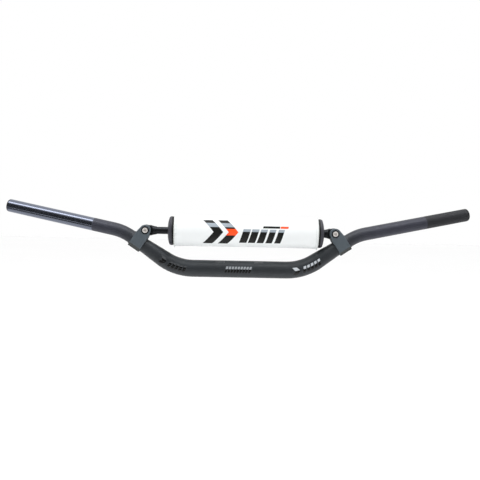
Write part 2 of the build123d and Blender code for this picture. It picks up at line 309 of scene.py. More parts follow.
def within(value, low, high, edge):
    """A mask that is 1 from low to high, with soft edges."""
    rising = value.nodes.ramped(value, low - edge, low + edge)
    falling = value.nodes.ramped(value, high - edge, high + edge)
    return rising - falling


def slanted_bars(u, v, start, end, pitch, duty, slant, low, high, edge):
    """A row of leaning bars: u runs along the row, v across it."""
    run = u - v * slant
    place = ((run - start) / pitch).fraction()
    bar = within(place, 0.0, duty, edge / pitch)
    return bar * within(run, start, end, edge) * within(v, low, high, edge)


def chevron(u, v, tip, width, slope, reach, edge):
    """An arrow-shaped stripe that points along u."""
    run = u + abs(v) * slope
    return within(run, tip - width, tip, edge) * within(v, -reach, reach, edge)


# Metal and plastic finishes


def dulled(finish, place, roughness, spread, size):
    """Sets a roughness that drifts a little, as handling leaves it."""
    drift = finish.speckle(place, size, 3.0)
    finish.set("Roughness", roughness + (drift - 0.5) * spread)


def tube_coordinates(finish, place):
    """Along the tube from the middle, height over its axis and distance behind it."""
    x = finish.part_of(place, "X")
    y = finish.part_of(place, "Y")
    z = finish.part_of(place, "Z")
    out = abs(x) - CENTRE_HALF
    down = BEND_R - z
    turn = out.angle_over(down)
    reach = (out * out + down * down).root()
    bend_start = out > 0.0
    bend_end = turn > SLOPE_ANGLE
    slope_out = out - BEND_R * SLOPE_SINE
    slope_up = z - BEND_R * (1 - SLOPE_COSINE)
    arc = CENTRE_HALF + BEND_R * SLOPE_ANGLE
    slope_along = arc + slope_out * SLOPE_COSINE + slope_up * SLOPE_SINE
    slope_height = slope_up * SLOPE_COSINE - slope_out * SLOPE_SINE
    bend_along = CENTRE_HALF + turn * BEND_R
    bend_height = BEND_R - reach
    curved = bend_start - bend_end * bend_start
    sloped = bend_end * bend_start
    straight = 1.0 - bend_start
    along = straight * abs(x) + curved * bend_along + sloped * slope_along
    height = straight * z + curved * bend_height + sloped * slope_height
    return x, along, height, y


def tube_marks(x, along, height, back):
    """The glossy print on the tube: leaning bars and arrows at the middle and both bends.

    Returns the whole print, and a painted reflection on its upper bands with how strong it is at each place."""
    girth = height.angle_over(-back) * CENTRE_R
    edge = 0.12 * MM
    low = -5.9 * MM
    high = 5.2 * MM
    middle = slanted_bars(x, girth, -24 * MM, 19.5 * MM, 4.9 * MM, 0.7, 0.3, low, high, edge)
    throttle_side = x < 0.0
    clutch_side = 1.0 - throttle_side
    left_run = -along
    left_girth = girth + 1.3 * MM
    left = slanted_bars(
        left_run, left_girth, -119 * MM, -88.6 * MM, 6.2 * MM, 0.7, 0.3, low, high, edge
    )
    left = left + chevron(left_run, left_girth, -123.5 * MM, 8 * MM, 0.8, 6.5 * MM, edge)
    right_girth = girth + 2.3 * MM
    right = slanted_bars(
        along, right_girth, 106 * MM, 138.4 * MM, 6.6 * MM, 0.7, 0.3, low, high, edge
    )
    right = right + chevron(along, right_girth, 101 * MM, 8 * MM, 0.8, 6.5 * MM, edge)
    left = left * throttle_side
    right = right * clutch_side
    # Painted reflection: the upper bands are painted pale, most at the right bend and least at the left, as the
    # room they face is lit
    upper_middle = middle * (girth > 0.7 * MM)
    upper_left = left * (left_girth > 2.6 * MM)
    upper_right = right * (right_girth > 0.9 * MM)
    pale = upper_middle * 0.55 + upper_left * 0.12 + upper_right * 0.85
    return middle + left + right, pale


def setting_ticks(x, height, back):
    """Fine etched lines over the centre section, for setting the bar's angle."""
    girth = height.angle_over(-back)
    lines = within((x / (2 * MM)).fraction(), 0.0, 0.16, 0.03)
    left = within(x, -41 * MM, -24.4 * MM, 0.05 * MM)
    right = within(x, 23 * MM, 39.6 * MM, 0.05 * MM)
    rows = within(girth, math.radians(50), math.radians(74), 0.01)
    return lines * (left + right) * rows


def from_tube_end(finish, place, mount):
    """Distance in from one end of the tube, along its grip."""
    run = finish.dot(finish.shifted(place, mount["pos_m"]), mount["axis"])
    return mount["dims"]["length_mm"] * MM / 2 + TUBE_CHAMFER - run


def tube_finish(look):
    """Shot-peened dark anodising, polished for the throttle and roughened for a grip."""
    finish = Finish("peened_anodised_tube")
    place = finish.place()
    x, along, height, back = tube_coordinates(finish, place)
    marks, pale = tube_marks(x, along, height, back)
    ticks = setting_ticks(x, height, back)
    to_throttle_end = from_tube_end(finish, place, MOUNTS["grip_throttle"])
    to_clutch_end = from_tube_end(finish, place, MOUNTS["grip_clutch"])
    edge = 0.25 * MM
    polished = 1.0 - finish.ramped(
        to_throttle_end, look.polished_length - edge, look.polished_length + edge
    )
    roughened = 1.0 - finish.ramped(
        to_clutch_end, look.roughened_length - 2 * edge, look.roughened_length + 2 * edge
    )
    inside = 1.0 - finish.ramped(abs(x), look.dye_shift_start, look.dye_shift_end)
    drift = finish.speckle(place, 9 * MM, 3.0)
    grain = finish.speckle(place, 0.35 * MM, 2.0)
    shade = 0.72 * drift + 0.28 * grain
    tube_colour = finish.mixed(shade, look.tube_dark, look.tube_light)
    outer_colour = finish.mixed(shade, look.grip_dark, look.grip_light)
    colour = finish.mixed(inside, outer_colour, tube_colour)
    colour = finish.mixed(roughened, colour, look.roughened_colour)
    colour = finish.mixed(polished, colour, look.polish_colour)
    colour = finish.mixed(ticks * 0.6, colour, look.tick_colour)
    colour = finish.mixed(marks, colour, look.mark_colour)
    # Painted reflection on the print's upper bands
    colour = finish.mixed(pale, colour, look.mark_painted_reflection)
    finish.set("Base Color", colour)
    matt = look.tube_roughness + (grain - 0.5) * 0.1 + roughened * 0.14
    turned = (to_throttle_end / (0.5 * MM)).fraction()
    bright = look.polish_roughness + (drift - 0.5) * 0.03 + (turned - 0.5) * 0.015
    roughness = polished * bright + (1.0 - polished) * matt
    roughness = marks * look.mark_roughness + (1.0 - marks) * roughness
    finish.set("Roughness", roughness)
    finish.set("Metallic", 0.3 + polished * 0.66 - marks * 0.3)
    dimples = finish.cells(place, 0.55 * MM)
    knurl = finish.cells(place, 1.1 * MM)
    fine = (1.0 - polished) * (1.0 - marks)
    relief = dimples * fine * 0.5 + roughened * knurl + marks * 0.4
    finish.set("Normal", finish.bump(relief, 0.1 * MM, 0.9))
    return finish.material


def facing_down(finish, place):
    """1 on faces turned down, such as the clamps' lower facets: painted darker as shade, with cutter marks."""
    normal = finish.node("ShaderNodeNewGeometry", out="Normal")
    across = finish.part_of(normal, "X")
    side = (finish.part_of(place, "X") > 0.0) * 2.0 - 1.0
    lift = finish.part_of(normal, "Z") * SLOPE_COSINE
    up = lift - side * across * SLOPE_SINE
    return finish.ramped(-up, 0.35, 0.5)


def edge_highlight(finish, place, radius):
    """1 along sharp edges, broken into patches: where a lighter highlight is painted."""
    smooth = finish.node("ShaderNodeBevel", {"samples": 6}, {"Radius": radius})
    plain = finish.node("ShaderNodeNewGeometry", out="Normal")
    agreement = finish.vector_maths("DOT_PRODUCT", smooth, plain, "Value")
    patches = finish.ramped(finish.speckle(place, 2.4 * MM, 3.0), 0.38, 0.62)
    return finish.ramped(1.0 - agreement, 0.01, 0.14) * patches


def clamp_finish(look):
    """Bead-blasted anodising, with a painted highlight along its edges, painted shade on faces turned down and in
    the recess round each bolt, and cutter marks below.
    """
    finish = Finish("blasted_clamp", Metallic=0.3)
    place = finish.place()
    fine = finish.speckle(place, 0.4 * MM)
    shade = finish.speckle(place, 6 * MM, 4.0) * 0.6 + fine * 0.4
    colour = finish.mixed(shade, look.clamp_dark, look.clamp_light)
    # Painted shade on faces turned down, which also get the cutter's marks
    milled_and_shaded = facing_down(finish, place)
    colour = finish.mixed(milled_and_shaded, colour, look.clamp_facet_shade)
    low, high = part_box("clamp_bolt_right")
    out = abs(finish.part_of(place, "X")) - (low.x + high.x) / 2
    rise = finish.part_of(place, "Z") - (low.z + high.z) / 2
    from_bolt = (out * out + rise * rise).root()
    # Painted highlight: lighter colour along the clamps' edges
    colour = finish.mixed(edge_highlight(finish, place, 0.7 * MM) * 0.6, colour, look.clamp_edge_highlight)
    # Painted shade: the recess round each bolt head is painted near black
    edge = look.recess_shade_radius
    recess = 1.0 - finish.ramped(from_bolt, edge - 0.1 * MM, edge + 0.1 * MM)
    colour = finish.mixed(recess, colour, SHADE_BLACK)
    finish.set("Base Color", colour)
    dulled(finish, place, 0.62, 0.12, 3 * MM)
    beads = finish.cells(place, 0.32 * MM)
    cutter = (finish.part_of(place, "X") * (2 * math.pi / (1.3 * MM))).sine()
    relief = beads * (1.0 - milled_and_shaded) * 0.5 + cutter * milled_and_shaded * 0.5
    finish.set("Normal", finish.bump(relief, 0.06 * MM, 0.8))
    return finish.material


def machined_finish(name, tones, centre, axis, pitch, roughness, metallic=1.0, bright=ALL_OVER):
    """Turned metal: fine rings about an axis, painted near black as shade outside the radius left bright."""
    finish = Finish(name, Metallic=metallic)
    place = finish.place()
    offset = finish.shifted(place, centre)
    along = finish.dot(offset, axis)
    spread = finish.node("ShaderNodeVectorMath", {"operation": "LENGTH"}, {0: offset}, "Value")
    radius = abs(spread * spread - along * along).root()
    rings = (radius + along) / pitch
    groove = (rings * (2 * math.pi)).sine() * 0.5 + 0.5
    colour = finish.mixed(finish.speckle(place, 2 * MM, 3.0), *tones)
    # Painted shade: near black outside the radius left bright, for the shade round a bolt head's rim
    shade_blacked = finish.ramped(radius, bright - 0.15 * MM, bright + 0.15 * MM)
    finish.set("Base Color", finish.mixed(shade_blacked, colour, SHADE_BLACK))
    dulled(finish, place, roughness, 0.1, 1.5 * MM)
    finish.set("Normal", finish.bump(groove, 0.012 * MM, 0.6))
    return finish.material


def satin_tube_finish(name, dark, light, roughness):
    """A drawn tube with a satin anodised skin and faint lengthwise lines."""
    finish = Finish(name, Metallic=0.9)
    place = finish.place()
    lines = finish.speckle(finish.stretched(place, (0.03, 1.0, 1.0)), 0.5 * MM, 3.0)
    shade = finish.speckle(place, 8 * MM, 3.0) * 0.6 + lines * 0.4
    finish.set("Base Color", finish.mixed(shade, dark, light))
    finish.set("Roughness", roughness + (lines - 0.5) * 0.12)
    finish.set("Normal", finish.bump(lines, 0.02 * MM, 0.5))
    return finish.material


def moulded_finish(name, dark, light, rim_shade_colour, roughness, rim_reach):
    """Moulded plastic with a spark-eroded grain, and painted shade on the rim's inner band next to the pad."""
    finish = Finish(name)
    place = finish.place()
    shade = finish.speckle(place, 5 * MM, 4.0)
    colour = finish.mixed(shade, dark, light)
    across = abs(finish.part_of(place, "X") - PAD_MIDDLE)
    # Painted shade: the band next to the pad is painted near black, for the shadowed gap between disc and pad
    band = 1.0 - finish.ramped(across, rim_reach - 0.2 * MM, rim_reach + 0.2 * MM)
    finish.set("Base Color", finish.mixed(band, colour, rim_shade_colour))
    dulled(finish, place, roughness, 0.14, 2 * MM)
    grain = finish.speckle(place, 0.3 * MM, 3.0, 0.7)
    finish.set("Normal", finish.bump(grain, 0.05 * MM, 0.6))
    return finish.material


def rubbery_finish(name, dark, light, roughness):
    """Soft moulded plastic with a fine grain."""
    finish = Finish(name)
    place = finish.place()
    finish.set("Base Color", finish.mixed(finish.speckle(place, 4 * MM, 3.0), dark, light))
    dulled(finish, place, roughness, 0.12, 2 * MM)
    finish.set("Normal", finish.bump(finish.speckle(place, 0.25 * MM, 3.0), 0.04 * MM, 0.6))
    return finish.material


def finish_nodes(material, *names):
    """Gives CAD nodes a material."""
    for name in names:
        mesh = frame["nodes"][name].data
        mesh.materials.clear()
        mesh.materials.append(material)


def both_sides(name):
    """A paired node's two names."""
    return name + "_left", name + "_right"


# Soft finishes


def pad_coordinates(finish, place):
    """Along the pad from the frame's middle, and round it from the front."""
    x = finish.part_of(place, "X")
    back = finish.part_of(place, "Y")
    height = finish.part_of(place, "Z") - CROSSBAR_Z
    return x, height.angle_over(-back) * PAD_END_R


def cover_print(finish, u, v, look):
    """The pad's printed stripes: a white ground, arrows, leaning bars and dashes."""
    edge = 0.12 * MM
    first = chevron(u, v, -29 * MM, 16 * MM, 0.75, 24 * MM, edge)
    second = chevron(u, v, -4 * MM, 16 * MM, 0.75, 24 * MM, edge)
    thinning = 0.88 - (u - 2 * MM) * 3.0
    bars = slanted_bars(u, v, 3 * MM, 75.4 * MM, 14.6 * MM, thinning, 0.28, -21 * MM, 6 * MM, edge)
    dash = slanted_bars(u, v, 34 * MM, 62 * MM, 40 * MM, 0.9, 0.28, 8.2 * MM, 12.4 * MM, edge)
    spark = slanted_bars(u, v, 63 * MM, 76 * MM, 20 * MM, 0.9, 0.28, 8.2 * MM, 12.4 * MM, edge)
    arrows = first + second
    ink = arrows + bars + dash
    upper = arrows * within(v, 9 * MM, 17 * MM, edge) + bars * within(v, 1.2 * MM, 8 * MM, edge)
    tip = second * within(v, -6 * MM, 6 * MM, edge)
    colour = finish.mixed(ink, look.cover_colour, look.print_dark)
    colour = finish.mixed(upper, colour, look.print_grey)
    colour = finish.mixed(tip + spark, colour, look.print_accent)
    return colour, ink + spark


def cover_finish(look):
    """Coated cloth with a fine pressed grain, printed on its front."""
    finish = Finish("printed_coated_cloth", Specular_IOR_Level=0.3)
    place = finish.place()
    u, v = pad_coordinates(finish, place)
    colour, printed = cover_print(finish, u, v, look)
    dirt = finish.ramped(finish.speckle(place, 14 * MM, 5.0, 0.6), 0.35, 0.75)
    soiled = dirt * (1.0 - printed) * 0.06
    finish.set("Base Color", finish.mixed(soiled, colour, look.cover_shade))
    roughness = look.cover_roughness + (finish.speckle(place, 3 * MM) - 0.5) * 0.1
    finish.set("Roughness", roughness - printed * 0.12)
    grain = finish.cells(finish.joined(u, v, 0.0), 0.75 * MM, "SMOOTH_F1")
    weave_u = (u / (0.6 * MM)).fraction() - 0.5
    weave_v = (v / (0.6 * MM)).fraction() - 0.5
    weave = abs(weave_u) + abs(weave_v)
    finish.set("Normal", finish.bump(grain * 0.7 + weave * 0.3, 0.07 * MM, 0.55))
    return finish.material


def plain_cloth_finish(name, light, dark, roughness, pitch):
    """Coated or woven cloth with threads at a pitch, round the crossbar."""
    finish = Finish(name)
    place = finish.place()
    u, v = pad_coordinates(finish, place)
    wave_u = (u * (2 * math.pi / pitch)).sine()
    wave_v = (v * (2 * math.pi / pitch)).sine()
    weave = (wave_u * wave_v) * 0.5 + 0.5
    patches = finish.speckle(place, 7 * MM, 4.0)
    colour = finish.mixed(weave * 0.5 + patches * 0.5, light, dark)
    finish.set("Base Color", colour)
    finish.set("Roughness", roughness + (weave - 0.5) * 0.1)
    finish.set("Normal", finish.bump(weave, 0.08 * MM, 0.6))
    return finish.material


def foam_finish(look):
    """Closed-cell foam, with open pores where it is cut."""
    finish = Finish("cut_foam")
    place = finish.place()
    pores = finish.cells(place, 0.9 * MM)
    fine = finish.speckle(place, 0.4 * MM, 3.0)
    finish.set("Base Color", finish.mixed(pores * 0.8 + fine * 0.3, look.foam_dark, look.foam_light))
    finish.set("Roughness", 0.92 - fine * 0.08)
    finish.set("Normal", finish.bump(pores, 0.25 * MM, 0.8))
    return finish.material


# Mesh helpers


def new_piece(name, points, faces, material):
    """A smooth-shaded mesh piece, with its faces turned outwards."""
    mesh = bpy.data.meshes.new(name)
    mesh.from_pydata(points, [], faces)
    shape = bmesh.new()
    shape.from_mesh(mesh)
    bmesh.ops.recalc_face_normals(shape, faces=shape.faces)
    shape.to_mesh(mesh)
    shape.free()
    mesh.polygons.foreach_set("use_smooth", [True] * len(mesh.polygons))
    mesh.materials.append(material)
    piece = bpy.data.objects.new(name, mesh)
    bpy.context.scene.collection.objects.link(piece)
    return piece


def grid_faces(rows, columns, wrap_rows=False, wrap_columns=False):
    """The quads of a grid of points stored row by row."""
    last_row = rows if wrap_rows else rows - 1
    last_column = columns if wrap_columns else columns - 1
    faces = []
    for row in range(last_row):
        for column in range(last_column):
            next_row = (row + 1) % rows
            next_column = (column + 1) % columns
            faces.append(
                (
                    row * columns + column,
                    row * columns + next_column,
                    next_row * columns + next_column,
                    next_row * columns + column,
                )
            )
    return faces


def tube_along(name, path, radius, material, sides=12, closed=False):
    """A round tube along a list of points."""
    count = len(path)
    points = []
    for index, point in enumerate(path):
        before = path[index - 1] if closed or index > 0 else point
        after = path[(index + 1) % count] if closed or index < count - 1 else point
        run = (after - before).normalized()
        side = run.cross(point - Vector((point.x, 0, CROSSBAR_Z))).normalized()
        lift = side.cross(run)
        for step in range(sides):
            turn = 2 * math.pi * step / sides
            points.append(point + (side * math.cos(turn) + lift * math.sin(turn)) * radius)
    faces = grid_faces(count, sides, wrap_rows=closed, wrap_columns=True)
    if not closed:
        faces.append(tuple(range(sides)))
        faces.append(tuple(range((count - 1) * sides, count * sides)))
    return new_piece(name, points, faces, material)


def add_subdivision(piece, levels):
    """Smooths a piece with a subdivision surface."""
    modifier = piece.modifiers.new("Subdivision", "SUBSURF")
    modifier.levels = levels
    modifier.render_levels = levels


def apply_modifiers(piece):
    """Replaces a piece's mesh by what its modifiers make of it."""
    bpy.context.view_layer.update()
    graph = bpy.context.evaluated_depsgraph_get()
    mesh = bpy.data.meshes.new_from_object(piece.evaluated_get(graph))
    piece.modifiers.clear()
    piece.data = mesh


# The pad


def pad_radius(along, look):
    """The pad's outer radius at a distance from its middle."""
    straight = PAD_HALF - look.flare_length
    share = max(0.0, (abs(along) - straight) / look.flare_length)
    return look.middle_radius + (PAD_END_R - look.middle_radius) * share**1.6


def cover_profile(look):
    """(along, radius) points from one end hole to the other, over the outside."""
    end = PAD_HALF - look.cover_inset
    rim = pad_radius(PAD_HALF, look) - look.cover_inset
    edge = look.edge_radius
    half = [(end, look.end_hole_radius), (end, look.end_hole_radius + 4 * MM)]
    half += [(end, rim * 0.6), (end, rim * 0.82)]
    for step in range(5):
        turn = math.pi / 2 * step / 4
        half.append((end - edge * (1 - math.cos(turn)), rim - edge * (1 - math.sin(turn))))
    along = end - edge
    while along > look.row_spacing:
        near_end = PAD_HALF - along < look.flare_length
        along -= look.fine_spacing if near_end else look.row_spacing
        half.append((along, pad_radius(along, look) - look.cover_inset))
    other = [(-along, radius) for along, radius in reversed(half)]
    return half + [(0.0, pad_radius(0.0, look) - look.cover_inset)] + other


def press_seams(piece, look):
    """Draws the cover in under the stitching near each end."""
    for vertex in piece.data.vertices:
        spot = vertex.co
        height = spot.z - CROSSBAR_Z
        out = math.hypot(spot.y, height)
        from_end = PAD_HALF - abs(spot.x - PAD_MIDDLE)
        if out < look.middle_radius * 0.9:
            continue
        angle = math.atan2(height, -spot.y)
        tug = 0.75 + 0.25 * math.sin(angle * 2 * math.pi * out / look.stitch_pitch)
        groove = math.exp(-(((from_end - look.seam_setback) / look.seam_reach) ** 2))
        drawn = 1 - look.seam_depth * groove * tug / out
        spot.y *= drawn
        spot.z = CROSSBAR_Z + height * drawn


def seam_pull(along, angle, look):
    """How far the end seams and the closure draw the cover in, with their puckers."""
    from_end = PAD_HALF - abs(along)
    near_end = math.exp(-from_end / look.pucker_reach)
    wander = noise.noise(Vector((angle * 3.1, along * 40.0, 1.7)))
    ripple = math.sin(angle * look.pucker_count + wander * 3.0)
    from_closure = abs(math.remainder(angle - CLOSURE, 2 * math.pi)) * look.middle_radius
    near_closure = math.exp(-from_closure / (2.5 * look.pucker_reach))
    drag = noise.noise(Vector((along * 90.0, angle * 2.0, 5.3)))
    return look.pucker_depth * (near_end * (0.6 + ripple) + near_closure * drag)


def swell(piece, pinned, look):
    """Fills the cover like a balloon with cloth simulation, held at its seams."""
    group = piece.vertex_groups.new(name="seams")
    for index, weight in pinned:
        group.add([index], weight, "REPLACE")
    start = [vertex.co.copy() for vertex in piece.data.vertices]
    modifier = piece.modifiers.new("Cloth", "CLOTH")
    settings = modifier.settings
    settings.quality = 6
    settings.mass = 0.3
    settings.tension_stiffness = 30.0
    settings.compression_stiffness = 30.0
    settings.bending_stiffness = 2.0
    settings.use_pressure = True
    settings.uniform_pressure_force = look.fill_pressure
    settings.vertex_group_mass = group.name
    settings.effector_weights.gravity = 0.0
    scene = bpy.context.scene
    modifier.point_cache.frame_start = 1
    modifier.point_cache.frame_end = look.fill_frames
    for step in range(1, look.fill_frames + 1):
        scene.frame_set(step)
    apply_modifiers(piece)
    scene.frame_set(1)
    for vertex, before in zip(piece.data.vertices, start):
        move = vertex.co - before
        if move.length > look.swell_limit:
            vertex.co = before + move.normalized() * look.swell_limit


def keep_inside(piece, look):
    """Pulls back any point of the cover that stands outside the pad's own outline."""
    for vertex in piece.data.vertices:
        spot = vertex.co
        out = math.hypot(spot.y, spot.z - CROSSBAR_Z)
        most = pad_radius(spot.x - PAD_MIDDLE, look) - look.skin_margin
        if out > most:
            share = most / out
            spot.y *= share
            spot.z = CROSSBAR_Z + (spot.z - CROSSBAR_Z) * share
        reach = PAD_HALF - look.skin_margin
        spot.x = PAD_MIDDLE + max(-reach, min(reach, spot.x - PAD_MIDDLE))


def sew_cover(look):
    """The cover: one sheet wrapped round the foam, with a panel folded over each end."""
    profile = cover_profile(look)
    columns = look.columns_around
    gap = look.slit_width / look.middle_radius
    points = []
    pinned = []
    for row, (along, radius) in enumerate(profile):
        for column in range(columns):
            angle = CLOSURE + gap / 2 + (2 * math.pi - gap) * column / (columns - 1)
            on_panel = abs(along) > PAD_HALF - look.cover_inset - 0.1 * MM
            pull = 0.0 if on_panel else seam_pull(along, angle, look)
            index = len(points)
            points.append(around_crossbar(PAD_MIDDLE + along, radius - pull, angle))
            at_rim = row < END_ROWS or row >= len(profile) - END_ROWS
            at_slit = column in (0, columns - 1)
            if at_rim or at_slit:
                pinned.append((index, 1.0))
    faces = grid_faces(len(profile), columns)
    piece = new_piece("pad_sleeve", points, faces, cover_finish(look))
    face_outwards(piece)
    swell(piece, pinned, look)
    press_seams(piece, look)
    keep_inside(piece, look)
    add_subdivision(piece, 1)
    thick = piece.modifiers.new("Thickness", "SOLIDIFY")
    thick.thickness = look.cover_thickness
    thick.offset = -1.0
    apply_modifiers(piece)
    return piece


def face_outwards(piece):
    """Turns an open sheet's faces away from the crossbar if they look at it."""
    face = max(piece.data.polygons, key=lambda item: item.area)
    out = face.center - Vector((face.center.x, 0, CROSSBAR_Z))
    if face.normal.dot(out) < 0:
        piece.data.flip_normals()


def cut_foam(look):
    """The foam core: a bored, slit cylinder with softened ends."""
    inset = look.cover_inset + look.cover_thickness + 0.25 * MM
    end = PAD_HALF - inset
    outer = look.middle_radius - inset - look.pucker_depth
    bore = look.foam_bore_radius
    soft = 1.6 * MM
    outline = [(-end, bore + soft / 2), (-end, outer - soft), (-end + soft / 2, outer - soft / 3)]
    outline.append((-end + soft, outer))
    for step in range(1, 12):
        outline.append((-end + soft + (2 * end - 2 * soft) * step / 12, outer))
    outline += [(end - soft, outer), (end - soft / 2, outer - soft / 3), (end, outer - soft)]
    outline += [(end, bore + soft / 2), (end - soft / 2, bore), (-end + soft / 2, bore)]
    columns = 97
    gap = look.slit_width / look.middle_radius
    points = []
    for column in range(columns):
        angle = CLOSURE + gap / 2 + (2 * math.pi - gap) * column / (columns - 1)
        for along, radius in outline:
            dent = noise.noise(Vector((along * 60, angle * 3, 2.1))) * 0.15 * MM
            inner = radius < bore + soft
            points.append(
                around_crossbar(PAD_MIDDLE + along, radius if inner else radius - abs(dent), angle)
            )
    size = len(outline)
    faces = grid_faces(columns, size, wrap_columns=True)
    faces.append(tuple(range(size)))
    faces.append(tuple(range((columns - 1) * size, columns * size)))
    return new_piece("pad_foam_core", points, faces, foam_finish(look))


def sew_piping(look, side, material):
    """The corded seam round one end of the cover."""
    along = PAD_MIDDLE + side * (PAD_HALF - look.piping_radius - look.skin_margin)
    radius = PAD_END_R - look.piping_radius - look.skin_margin
    gap = look.slit_width / radius
    count = 180
    path = []
    for step in range(count):
        angle = CLOSURE + gap / 2 + (2 * math.pi - gap) * step / (count - 1)
        wave = math.sin(angle * look.pucker_count) * 0.06 * MM
        path.append(around_crossbar(along + wave, radius, angle))
    name = "pad_piping_right" if side > 0 else "pad_piping_left"
    return tube_along(name, path, look.piping_radius, material)


def wrapped_strip(name, half_length, half_width, inner, thick, corner, material):
    """A strip with round corners, bent round the pad over its closure."""
    long_steps = 96
    wide_steps = 20
    points = []
    for layer in (inner + thick, inner):
        for row in range(long_steps + 1):
            along = half_length * (2 * row / long_steps - 1)
            near = max(0.0, abs(along) - (half_length - corner))
            width = half_width - corner + math.sqrt(max(0.0, corner**2 - near**2))
            for column in range(wide_steps + 1):
                across = width * (2 * column / wide_steps - 1)
                rim = (abs(across) / half_width) ** 8
                rim = max(rim, (abs(along) / half_length) ** 60)
                wave = noise.noise(Vector((along * 55, across * 70, 8.4))) * 0.12 * MM
                radius = layer + (wave - 0.3 * MM * rim if layer > inner else 0.0)
                angle = CLOSURE + across / inner
                points.append(around_crossbar(PAD_MIDDLE + along, radius, angle))
    rows = long_steps + 1
    columns = wide_steps + 1
    size = rows * columns
    top = grid_faces(rows, columns)
    bottom = [tuple(size + index for index in reversed(face)) for face in top]
    border = list(range(columns))
    border += [row * columns + columns - 1 for row in range(1, rows)]
    border += [(rows - 1) * columns + column for column in range(columns - 2, -1, -1)]
    border += [row * columns for row in range(rows - 2, 0, -1)]
    walls = []
    for place, index in enumerate(border):
        following = border[(place + 1) % len(border)]
        walls.append((index, index + size, following + size, following))
    return new_piece(name, points, top + bottom + walls, material)


def stitch(points, faces, start, end, out, thickness):
    """Adds one stitch: a short thread, low at its ends and proud in the middle."""
    run = (end - start).normalized()
    side = run.cross(out).normalized()
    stations = (
        (0.0, 0.0, 0.45),
        (0.18, 0.6, 0.9),
        (0.5, 0.9, 1.0),
        (0.82, 0.6, 0.9),
        (1.0, 0.0, 0.45),
    )
    sides = 6
    base = len(points)
    for share, lift, fat in stations:
        centre = start.lerp(end, share) + out * (lift * thickness * 0.55 - thickness * 0.2)
        for step in range(sides):
            turn = 2 * math.pi * step / sides
            spoke = side * math.cos(turn) + out * math.sin(turn)
            points.append(centre + spoke * (thickness / 2 * fat))
    for ring in range(len(stations) - 1):
        for step in range(sides):
            following = (step + 1) % sides
            faces.append(
                (
                    base + ring * sides + step,
                    base + ring * sides + following,
                    base + (ring + 1) * sides + following,
                    base + (ring + 1) * sides + step,
                )
            )
    last = base + (len(stations) - 1) * sides
    faces.append(tuple(base + step for step in range(sides)))
    faces.append(tuple(last + step for step in range(sides)))


def stitched_row(points, faces, line, look):
    """Adds stitches along a line of (point, outward direction) stations."""
    for (start, out), (end, _) in zip(line[::2], line[1::2]):
        stitch(points, faces, start, end, out, look.thread_thickness)


def even_stations(count):
    """Pairs of shares of a line: where each stitch goes in and comes out."""
    shares = []
    for index in range(count):
        shares += [(index + 0.12) / count, (index + 0.84) / count]
    return shares


def outward_station(along, radius, angle):
    """A point round the crossbar, with the direction straight out from the axis there."""
    out = around_crossbar(along, 1.0, angle) - around_crossbar(along, 0.0, angle)
    return around_crossbar(along, radius, angle), out


def surface_radius(tree, along, angle):
    """The outer radius of a piece at one place, by a ray in from outside."""
    centre = around_crossbar(along, 0.0, angle)
    start = around_crossbar(along, 2 * PAD_END_R, angle)
    found, _, _, _ = tree.ray_cast(start, (centre - start).normalized())
    return PAD_END_R if found is None else (found - centre).length


def sew_end_rows(look, sleeve, material):
    """The rows of stitches round both ends of the cover."""
    shape = bmesh.new()
    shape.from_mesh(sleeve.data)
    tree = BVHTree.FromBMesh(shape)
    shape.free()
    points = []
    faces = []
    girth = 2 * math.pi * look.middle_radius
    gap = look.slit_width / look.middle_radius
    for side in (-1, 1):
        along = PAD_MIDDLE + side * (PAD_HALF - look.seam_setback)
        line = []
        for share in even_stations(round(girth / look.stitch_pitch)):
            angle = CLOSURE + gap + (2 * math.pi - 2 * gap) * share
            line.append(outward_station(along, surface_radius(tree, along, angle), angle))
        stitched_row(points, faces, line, look)
    return new_piece("pad_end_stitching", points, faces, material)


def sew_flap_rows(look, radius, half_length, half_width, material):
    """The stitches round the flap, a little in from its edge."""
    points = []
    faces = []
    setback = look.flap_seam
    long_half = half_length - setback
    wide_half = half_width - setback
    for side in (-1, 1):
        line = []
        for share in even_stations(round(2 * long_half / look.stitch_pitch)):
            along = PAD_MIDDLE + long_half * (2 * share - 1)
            angle = CLOSURE + side * wide_half / radius
            line.append(outward_station(along, radius, angle))
        stitched_row(points, faces, line, look)
        line = []
        for share in even_stations(round(2 * wide_half / look.stitch_pitch)):
            along = PAD_MIDDLE + side * long_half
            angle = CLOSURE + wide_half / radius * (2 * share - 1)
            line.append(outward_station(along, radius, angle))
        stitched_row(points, faces, line, look)
    return new_piece("pad_flap_stitching", points, faces, material)


# Sizes and colours a user may change


def a_length(name, description, millimetres):
    """A length property, in the scene's unit."""
    return FloatProperty(
        name=name,
        description=description,
        default=millimetres * MM,
        unit="LENGTH",
        subtype="DISTANCE",
        precision=4,
    )


def an_angle(name, description, degrees):
    """An angle property."""
    return FloatProperty(
        name=name, description=description, default=math.radians(degrees), subtype="ANGLE"
    )


def a_colour(name, description, red, green, blue):
    """A colour property, linear."""
    return FloatVectorProperty(
        name=name,
        description=description,
        default=(red, green, blue),
        subtype="COLOR",
        min=0.0,
        max=1.0,
    )


def a_share(name, description, value):
    """A property from 0 to 1."""
    return FloatProperty(
        name=name, description=description, default=value, min=0.0, max=1.0, subtype="FACTOR"
    )


def a_number(name, description, value, **limits):
    """A plain number."""
    return FloatProperty(name=name, description=description, default=value, **limits)


def a_count(name, description, value, least):
    """A whole number."""
    return IntProperty(name=name, description=description, default=value, min=least)


